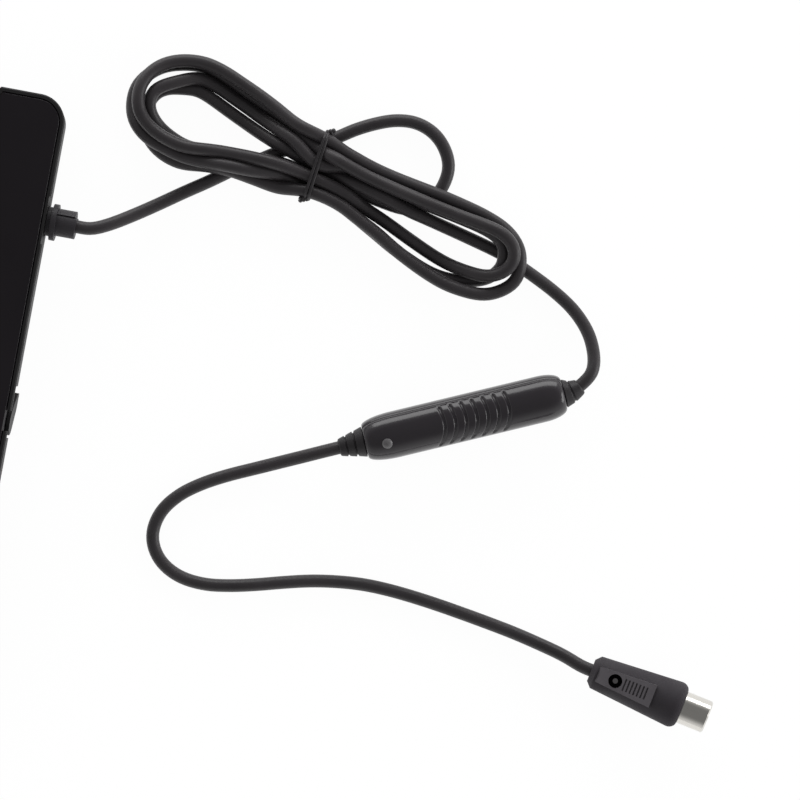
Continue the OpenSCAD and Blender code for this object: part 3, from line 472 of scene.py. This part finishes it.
def round_lead(name, path):
    data = bpy.data.curves.new(name, "CURVE")
    data.dimensions = "3D"
    data.bevel_depth = lead_d / 2 * MM
    data.bevel_resolution = 5
    data.use_fill_caps = True
    spline = data.splines.new("POLY")
    spline.points.add(len(path) - 1)
    for point, place in zip(spline.points, path):
        point.co = (*(place * MM), 1)
    spline.use_smooth = True
    data.materials.append(lead_pvc)
    lead = bpy.data.objects.new(name, data)
    bpy.context.scene.collection.objects.link(lead)
    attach(lead, "panel")
    return lead


lead_to_amplifier = round_lead("lead_to_amplifier", first_path)
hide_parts("lead_near", "lead_loop", "lead_hank", "lead_far")
lead_to_plug = round_lead("lead_to_plug", second_path)
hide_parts("lead_plug")
print("leads:", len(first_path), "and", len(second_path), "points")

# %% [markdown]
# ## The twist tie
#
# A twist tie is a plastic strip with a wire in it. It goes twice round the bundle, side
# by side, and a short twisted knot stands out at each side of the bundle. What follows a
# path is made with Geometry Nodes here: the script gives the path as a line of points with
# a radius at each, and the tree turns it into a curve and sweeps a round section along it.
# The same tree makes the two turns and the knots.

# %% A tree that sweeps a wire along a line
def wire_tree():
    tree = bpy.data.node_groups.new("sweep_wire", "GeometryNodeTree")
    tree.interface.new_socket("Geometry", in_out="INPUT", socket_type="NodeSocketGeometry")
    sides = tree.interface.new_socket("Sides", in_out="INPUT", socket_type="NodeSocketInt")
    skin = tree.interface.new_socket("Finish", in_out="INPUT", socket_type="NodeSocketMaterial")
    tree.interface.new_socket("Geometry", in_out="OUTPUT", socket_type="NodeSocketGeometry")
    start = tree.nodes.new("NodeGroupInput")
    line = tree.nodes.new("GeometryNodeMeshToCurve")
    ring = tree.nodes.new("GeometryNodeCurvePrimitiveCircle")
    ring.inputs["Radius"].default_value = 1  # scaled by the radius that each point carries
    thickness = tree.nodes.new("GeometryNodeInputNamedAttribute")
    thickness.data_type = "FLOAT"
    thickness.inputs["Name"].default_value = "thickness"
    sweep = tree.nodes.new("GeometryNodeCurveToMesh")
    sweep.inputs["Fill Caps"].default_value = True
    smooth = tree.nodes.new("GeometryNodeSetShadeSmooth")
    real = tree.nodes.new("GeometryNodeRealizeInstances")
    paint = tree.nodes.new("GeometryNodeSetMaterial")
    end = tree.nodes.new("NodeGroupOutput")
    link = tree.links.new
    link(start.outputs["Geometry"], line.inputs["Mesh"])
    link(start.outputs["Sides"], ring.inputs["Resolution"])
    link(line.outputs["Curve"], sweep.inputs["Curve"])
    link(thickness.outputs["Attribute"], sweep.inputs["Scale"])
    link(ring.outputs["Curve"], sweep.inputs["Profile Curve"])
    link(sweep.outputs["Mesh"], smooth.inputs["Geometry"])
    link(smooth.outputs["Geometry"], real.inputs["Geometry"])
    link(real.outputs["Geometry"], paint.inputs["Geometry"])
    link(start.outputs["Finish"], paint.inputs["Material"])
    link(paint.outputs["Geometry"], end.inputs["Geometry"])
    return tree, sides.identifier, skin.identifier


def line_object(name, lines):
    """Lines of points with a radius at each, all in mm, as a mesh of loose edges."""
    verts, edges, radii = [], [], []
    for points, radius, closed in lines:
        first, n = len(verts), len(points)
        verts += [tuple(p * MM) for p in points]
        radii += [r * MM for r in np.broadcast_to(radius, n)]
        edges += [(first + i, first + i + 1) for i in range(n - 1)]
        if closed:
            edges.append((first + n - 1, first))
    mesh = bpy.data.meshes.new(name)
    mesh.from_pydata(verts, edges, [])
    mesh.attributes.new("thickness", "FLOAT", "POINT").data.foreach_set("value", radii)
    line = bpy.data.objects.new(name, mesh)
    bpy.context.scene.collection.objects.link(line)
    return line


def bake(name, source, tree, values):
    """The tree's result as a plain mesh object."""
    modifier = source.modifiers.new("make", "NODES")
    modifier.node_group = tree
    for key, value in values.items():
        modifier[key] = value
    bpy.context.view_layer.update()
    result = source.evaluated_get(bpy.context.evaluated_depsgraph_get())
    made = bpy.data.meshes.new_from_object(result)
    made.name = name
    bpy.data.objects.remove(source)
    piece = bpy.data.objects.new(name, made)
    bpy.context.scene.collection.objects.link(piece)
    print(name, len(made.polygons), "faces")
    return piece


# %% The tie's turns and its knots
bundle = np.array([187.3, 87.8, 4.6])
across = np.array([0.11, 0.994, 0.0])
along = np.array([0.994, -0.11, 0.0])
up = np.array([0.0, 0.0, 1.0])
half_w, half_h, corner = 9.9, 4.1, 3.6
wire_r = 0.5


def strip_turn(shift, lean, steep=4):
    """One turn round the bundle, a flat loop with round corners and steep steps between them."""
    line = []
    for a in np.linspace(0, 2 * math.pi, 56, endpoint=False):
        c, s = math.cos(a), math.sin(a)
        x = (half_w - corner) * np.sign(c) * min(1, abs(c) * steep) + corner * c
        z = (half_h - corner) * np.sign(s) * min(1, abs(s) * steep) + corner * s
        line.append(bundle + across * x + up * z + along * (shift + lean * x / half_w))
    return line


def twisted_end(phase, side, lean, length=2.2, twist_r=0.6, twists=1.25):
    """One of the two wires of a knot, at one side of the bundle."""
    root = bundle + across * side * (half_w - 0.3) + up * 1.2
    out = across * side * 0.5 + along * lean + up * 0.1
    line = []
    for t in np.linspace(0, 1, 30):
        turn = phase + t * twists * 2 * math.pi
        aside = across * math.cos(turn) + up * math.sin(turn)
        line.append(root + out * t * length + aside * twist_r)
    return line


tree, sides_input, finish_input = wire_tree()
tie_lines = [(strip_turn(shift, lean), wire_r, True)
             for shift, lean in ((-0.45, 0.3), (0.45, 0.1))]
tie_lines += [(twisted_end(phase, side, 0.9 * side), wire_r, False)
              for side in (1, -1) for phase in (0, math.pi)]
tie_wire = bake("tie_wire", line_object("tie_line", tie_lines), tree,
                {sides_input: 10, finish_input: tie_black})
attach(tie_wire, "panel")
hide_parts("twist_tie")

# %% [markdown]
# ## The strain reliefs
#
# A strain relief keeps the lead from kinking where it enters the case. Each of the two is
# a soft stepped cone that starts on the case's end face and follows the lead. It could be
# turned on a lathe and bent, but the same tree can sweep it in one go, with a radius that
# changes along the way. The steps are pairs of a distance from the end face and a radius.

# %% A stepped cone along a route
def boot(name, node, route, steps, ring_gap=0.12):
    path = smooth_path(route, step=ring_gap)
    way = np.concatenate([[0], np.cumsum(np.linalg.norm(np.diff(path, axis=0), axis=1))])
    way -= 1  # a route starts 1 mm inside the case
    path, way = path[way <= steps[-1][0]], way[way <= steps[-1][0]]
    radius = np.interp(way, *zip(*steps))
    piece = bake(name, line_object(name + "_line", [(path, radius, False)]), tree,
                 {sides_input: 48, finish_input: soft_mould})
    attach(piece, "panel")
    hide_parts(node)
    return piece


boot_to_hank = boot("boot_to_hank", "boot_in",
    route=[(267.7, 35.99, 6.7), (268.62, 36.40, 6.7), (270.5, 37.35, 6.7), (272.36, 38.85, 6.7),
           (273.6, 40.3, 6.7), (274.37, 41.58, 6.7), (275.2, 43.3, 6.7)],
    steps=[(-1, 2.6), (0.02, 2.6), (0.1, 4.0), (0.3, 4.1), (2.1, 3.4), (2.25, 2.95), (2.5, 2.95),
           (2.65, 3.2), (4.9, 2.45), (5.2, 2.2), (5.35, 1.8)])
boot_to_plug = boot("boot_to_plug", "boot_out",
    route=[(216.09, 13.01, 6.7), (215.18, 12.60, 6.7), (212.4, 11.37, 6.7), (209.7, 10.16, 6.7),
           (207.0, 8.95, 6.7), (204.4, 7.8, 6.6)],
    steps=[(-1, 2.6), (0.02, 2.6), (0.1, 4.3), (0.3, 4.4), (2.5, 3.75), (2.65, 3.2), (2.95, 3.2),
           (3.1, 3.7), (5.0, 3.1), (5.15, 2.65), (5.4, 2.65), (5.55, 3.05), (7.2, 2.55),
           (7.5, 2.3), (7.65, 1.8)])

# %% [markdown]
# ## The amplifier's case
#
# The case is a polished tube in two halves. Its shoulders are rounder than the CAD
# model's, and its seven grip grooves are soft valleys that bow towards the lead and catch
# the light on their slopes. The script lays out a plain half tube as a grid, and a
# Geometry Nodes tree presses the grooves into it: for each point it works out how far the
# nearest groove's middle line is, and moves the point inward by a smooth profile of that
# distance. So the number, pitch, width and depth of the grooves stay inputs, and the lower
# half, which is plain, is made by the same tree with no depth.

# %% A half tube in the case's own frame
# All in mm: the axis is X, and the plug's end is at its low side
amp_place = np.array([241.9, 24.5, 6.7])
amp_turn, amp_roll = math.radians(24), math.radians(18)
amp_l, amp_r, seam_z = 58.5, 6.7, 1.8
plug_end, hank_end = (4.6, 8.8), (4.3, 6.5)  # radius of the face and length of the shoulder
hole_r = 3.0
shoulder_rings, body_rings, ring_points = 16, 208, 65
seam_dips = (0.35, 0.12, 0.02)  # how far the first points beside one seam sink in


def half_tube(name, upper):
    """Rings of points along +X, from one side of the seam to the other."""
    a = np.linspace(0, math.pi / 2, shoulder_rings)
    (x0, r0), (x1, r1) = (
        (amp_l / 2 - length * (1 - np.cos(a)), face + (amp_r - face) * np.sin(a))
        for face, length in (plug_end, hank_end))
    x = np.concatenate([-x0, np.linspace(-x0[-1], x1[-1], body_rings + 2)[1:-1], x1[::-1]])
    r = np.concatenate([r0, np.full(body_rings, amp_r), r1[::-1]])
    x, r = np.concatenate([[x[0]], x, [x[-1]]]), np.concatenate([[hole_r], r, [hole_r]])
    verts, faces, n = [], [], ring_points
    for i in range(len(x)):
        low = math.asin(min(0.9, seam_z / r[i]))
        first, last = (low, math.pi - low) if upper else (math.pi - low, 2 * math.pi + low)
        for k, t in enumerate(np.linspace(first, last, n)):
            edge = k if upper else n - 1 - k
            dip = seam_dips[edge] if edge < len(seam_dips) and 0 < i < len(x) - 1 else 0
            out = r[i] - dip
            verts.append((x[i] * MM, out * math.cos(t) * MM, out * math.sin(t) * MM))
    for i in range(len(x) - 1):
        for k in range(n - 1):
            faces.append((i * n + k, i * n + k + 1, (i + 1) * n + k + 1, (i + 1) * n + k))
    mesh = bpy.data.meshes.new(name)
    mesh.from_pydata(verts, [], faces)
    tube = bpy.data.objects.new(name, mesh)
    bpy.context.scene.collection.objects.link(tube)
    return tube


# %% A tree that presses bowed grooves into a tube
def groove_tree():
    tree = bpy.data.node_groups.new("press_grooves", "GeometryNodeTree")
    tree.interface.new_socket("Geometry", in_out="INPUT", socket_type="NodeSocketGeometry")
    names = ("Count", "Pitch", "Half width", "Depth", "Middle X", "Bow", "Apex Y", "Side Y",
             "Reach")
    sockets = {n: tree.interface.new_socket(n, in_out="INPUT", socket_type="NodeSocketFloat")
               for n in names}
    skin = tree.interface.new_socket("Finish", in_out="INPUT", socket_type="NodeSocketMaterial")
    tree.interface.new_socket("Geometry", in_out="OUTPUT", socket_type="NodeSocketGeometry")
    start = tree.nodes.new("NodeGroupInput")
    link = tree.links.new

    def math_node(operation, *values):
        node = tree.nodes.new("ShaderNodeMath")
        node.operation = operation
        for socket, value in zip(node.inputs, values):
            if isinstance(value, (int, float)):
                socket.default_value = value
            else:
                link(value, socket)
        return node.outputs[0]

    def given(name):
        return start.outputs[name]

    here = tree.nodes.new("GeometryNodeInputPosition")
    part = tree.nodes.new("ShaderNodeSeparateXYZ")
    link(here.outputs[0], part.inputs[0])
    x, y, z = part.outputs
    # How far along the tube, measured from the bowed line through the middle groove
    from_apex = math_node("SUBTRACT", y, given("Apex Y"))
    square = math_node("SUBTRACT", math_node("MULTIPLY", given("Bow"), given("Bow")),
                       math_node("MULTIPLY", from_apex, from_apex))
    sag = math_node("SUBTRACT", given("Bow"), math_node("SQRT", square))
    from_middle = math_node("SUBTRACT", math_node("ADD", x, sag), given("Middle X"))
    run = math_node("DIVIDE", from_middle, given("Pitch"))
    # Distance to the nearest groove, of an odd count round the middle one
    limit = math_node("DIVIDE", math_node("SUBTRACT", given("Count"), 1), 2)
    not_below = math_node("MAXIMUM", math_node("ROUND", run), math_node("MULTIPLY", limit, -1))
    nearest = math_node("MINIMUM", not_below, limit)
    off_groove = math_node("ABSOLUTE", math_node("SUBTRACT", run, nearest))
    gap = math_node("MULTIPLY", off_groove, given("Pitch"))

    def fade(value, start_at, end_at):
        node = tree.nodes.new("ShaderNodeMapRange")
        node.interpolation_type = "SMOOTHSTEP"
        link(value, node.inputs["Value"])
        for socket, given_value in (("From Min", start_at), ("From Max", end_at)):
            if isinstance(given_value, (int, float)):
                node.inputs[socket].default_value = given_value
            else:
                link(given_value, node.inputs[socket])
        node.inputs["To Min"].default_value = 1
        node.inputs["To Max"].default_value = 0
        return node.outputs["Result"]

    valley = fade(gap, 0.0, given("Half width"))
    sideways = math_node("ABSOLUTE", math_node("SUBTRACT", y, given("Side Y")))
    ends = fade(sideways, math_node("SUBTRACT", given("Reach"), 0.8 * MM), given("Reach"))
    press = math_node("MULTIPLY", math_node("MULTIPLY", valley, ends), given("Depth"))
    # Inward is towards the tube's axis
    inward = tree.nodes.new("ShaderNodeCombineXYZ")
    link(math_node("MULTIPLY", y, -1), inward.inputs["Y"])
    link(math_node("MULTIPLY", z, -1), inward.inputs["Z"])
    unit = tree.nodes.new("ShaderNodeVectorMath")
    unit.operation = "NORMALIZE"
    link(inward.outputs[0], unit.inputs[0])
    shift = tree.nodes.new("ShaderNodeVectorMath")
    shift.operation = "SCALE"
    link(unit.outputs[0], shift.inputs[0])
    link(press, shift.inputs["Scale"])
    move = tree.nodes.new("GeometryNodeSetPosition")
    smooth = tree.nodes.new("GeometryNodeSetShadeSmooth")
    real = tree.nodes.new("GeometryNodeRealizeInstances")
    paint = tree.nodes.new("GeometryNodeSetMaterial")
    end = tree.nodes.new("NodeGroupOutput")
    link(start.outputs["Geometry"], move.inputs["Geometry"])
    link(shift.outputs[0], move.inputs["Offset"])
    link(move.outputs["Geometry"], smooth.inputs["Geometry"])
    link(smooth.outputs["Geometry"], real.inputs["Geometry"])
    link(real.outputs["Geometry"], paint.inputs["Geometry"])
    link(start.outputs["Finish"], paint.inputs["Material"])
    link(paint.outputs["Geometry"], end.inputs["Geometry"])
    return tree, {n: s.identifier for n, s in sockets.items()}, skin.identifier


# %% Make both halves and put them in their place
def put_in_place(piece):
    """From the case's own frame to the part's, in the mesh itself."""
    co = np.array([v.co for v in piece.data.vertices]) / MM
    c, s = math.cos(amp_roll), math.sin(amp_roll)
    co = np.stack([co[:, 0], co[:, 1] * c - co[:, 2] * s, co[:, 1] * s + co[:, 2] * c], axis=1)
    c, s = math.cos(amp_turn), math.sin(amp_turn)
    co = np.stack([co[:, 0] * c - co[:, 1] * s, co[:, 0] * s + co[:, 1] * c, co[:, 2]], axis=1)
    co += amp_place
    piece.data.vertices.foreach_set("co", (co * MM).ravel())
    piece.data.update()


tree, groove_inputs, finish_input = groove_tree()
grooves = {"Count": 7.0, "Pitch": 3.15 * MM, "Half width": 0.75 * MM, "Middle X": 3.6 * MM,
           "Bow": 11 * MM, "Apex Y": 2.2 * MM, "Side Y": 0.4 * MM, "Reach": 5.9 * MM}
for name, upper, node, depth in (("amp_case_upper", True, "amp_upper_case", 0.55 * MM),
                                 ("amp_case_lower", False, "amp_lower_case", 0.0)):
    values = {groove_inputs[key]: value for key, value in {**grooves, "Depth": depth}.items()}
    half = bake(name, half_tube(name, upper), tree, {**values, finish_input: amp_polish})
    put_in_place(half)
    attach(half, "panel")
    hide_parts(node)

# %% [markdown]
# ## The view transform
#
# Last, the picture is shown with the Standard view transform.

# %% The view transform
scene = bpy.context.scene
scene.view_settings.view_transform = "Standard"
